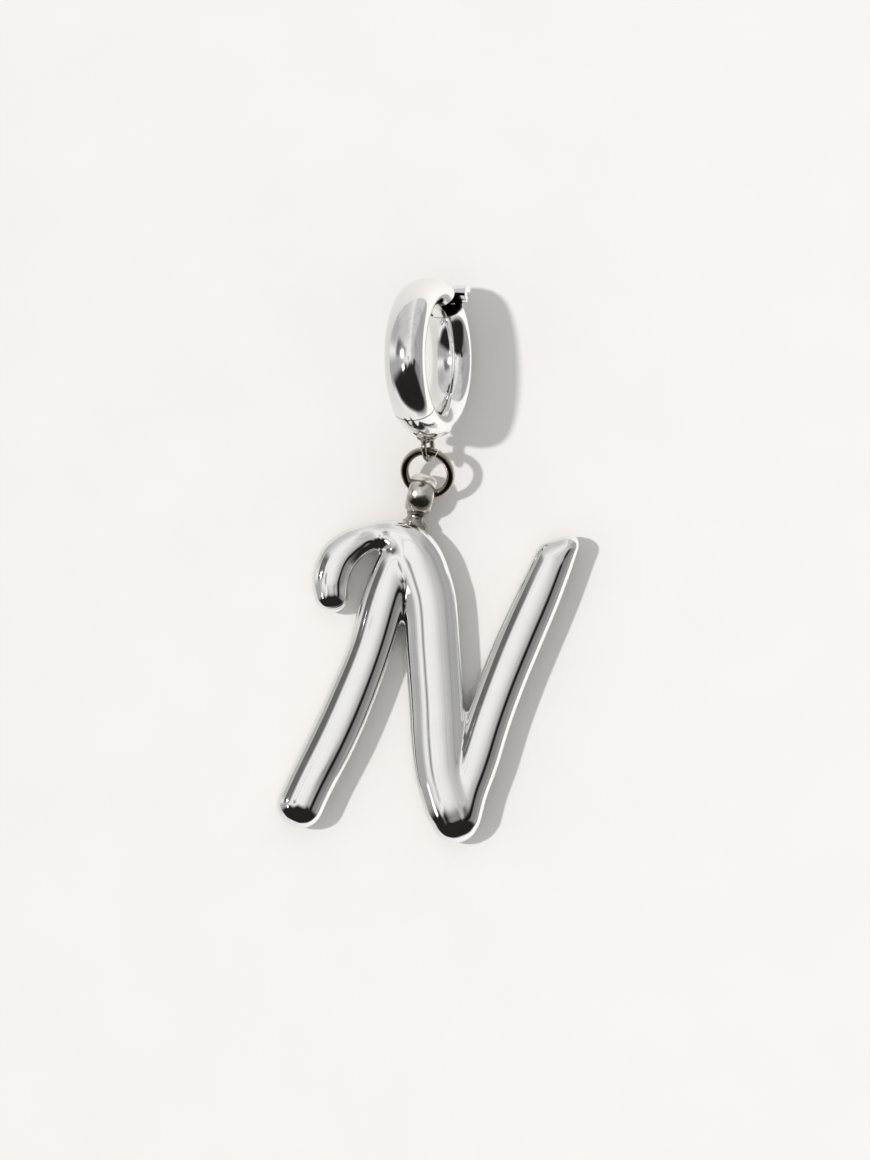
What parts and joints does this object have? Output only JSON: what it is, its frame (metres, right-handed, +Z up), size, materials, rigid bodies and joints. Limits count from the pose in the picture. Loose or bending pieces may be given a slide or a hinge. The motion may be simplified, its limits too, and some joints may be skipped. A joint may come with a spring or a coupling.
{
  "type": "initial pendant",
  "caption": "Puffed script initial pendant in polished silver-coloured metal, hung by a small ring from a hinged hoop clasp, lying on a flat surface.",
  "frame": {"origin": "on the surface that the pendant lies on, under the middle of its bounding box", "axes": "+X towards the right of the letter as read, +Y towards its top and the hoop, +Z up from the surface"},
  "size_m": [0.0256, 0.0476, 0.0129],
  "materials": {
    "polished_metal": "mirror polished, with faint wear",
    "pin_metal": "polished",
    "ring_metal": "drawn wire, polished"
  },
  "bodies": {
    "clasp": {"clasp_body": "polished_metal", "hinge_pin": "pin_metal", "jump_ring": "ring_metal", "letter": "polished_metal"},
    "gate": {"clasp_gate": "polished_metal"}
  },
  "joints": [
    {"name": "gate_hinge", "type": "hinge", "parent": "clasp", "child": "gate", "pos_m": [0.00155, 0.02254, 0.00246], "axis": [-0.9336, 0, -0.3584], "range_deg": [0, 40]}
  ]
}
